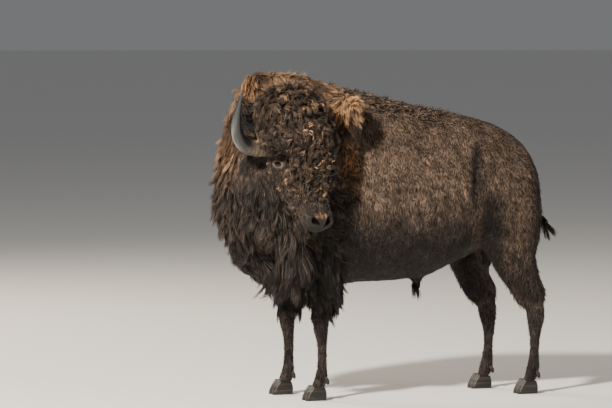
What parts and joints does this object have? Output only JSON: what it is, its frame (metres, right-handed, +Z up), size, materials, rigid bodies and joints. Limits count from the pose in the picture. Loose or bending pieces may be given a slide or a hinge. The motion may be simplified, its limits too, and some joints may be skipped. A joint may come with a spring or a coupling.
{
  "type": "bison",
  "caption": "Life-size standing plains bison bull with its head turned to its left, divided into body, head, horns, mane, legs, cloven hooves and tail.",
  "frame": {"origin": "on the floor, under the middle of the bounding box", "axes": "+X towards the rump, -X the way the body faces, -Y the animal's left flank, +Z up"},
  "size_m": [2.0952, 1.085, 1.829],
  "materials": {
    "short_coat": "short flat dark brown fur",
    "cape_wool": "dense tan-brown wool",
    "head_wool": "curly dark brown wool",
    "long_hair": "long straggly near-black hair",
    "nose_skin": "bare damp nose leather and the thinly haired muzzle",
    "horn": "grey-black keratin with a dull sheen",
    "hoof": "black keratin, dull",
    "eye": "wet, glossy, very dark brown"
  },
  "bodies": {
    "root": {"forequarters": "cape_wool", "barrel": "short_coat", "hindquarters": "short_coat", "horn_left": "horn", "horn_right": "horn", "eye_left": "eye", "eye_right": "eye", "head": "head_wool", "muzzle": "nose_skin", "jaw": "long_hair", "crown_wool": "head_wool", "ear_left": "head_wool", "ear_right": "head_wool", "neck": "cape_wool", "beard": "long_hair", "throat_mane": "long_hair", "shoulder_wool": "cape_wool", "foreleg_left_upper": "long_hair", "foreleg_left_lower": "short_coat", "foreleg_left_hoof_left": "hoof", "foreleg_left_hoof_right": "hoof", "foreleg_left_dewclaw_left": "hoof", "foreleg_left_dewclaw_right": "hoof", "hindleg_left_upper": "short_coat", "hindleg_left_lower": "short_coat", "hindleg_left_hoof_left": "hoof", "hindleg_left_hoof_right": "hoof", "hindleg_left_dewclaw_left": "hoof", "hindleg_left_dewclaw_right": "hoof", "foreleg_right_upper": "long_hair", "foreleg_right_lower": "short_coat", "foreleg_right_hoof_left": "hoof", "foreleg_right_hoof_right": "hoof", "foreleg_right_dewclaw_left": "hoof", "foreleg_right_dewclaw_right": "hoof", "hindleg_right_upper": "short_coat", "hindleg_right_lower": "short_coat", "hindleg_right_hoof_left": "hoof", "hindleg_right_hoof_right": "hoof", "hindleg_right_dewclaw_left": "hoof", "hindleg_right_dewclaw_right": "hoof", "tail": "short_coat", "tail_tuft": "long_hair", "sheath": "long_hair", "scrotum": "short_coat"}
  },
  "joints": []
}
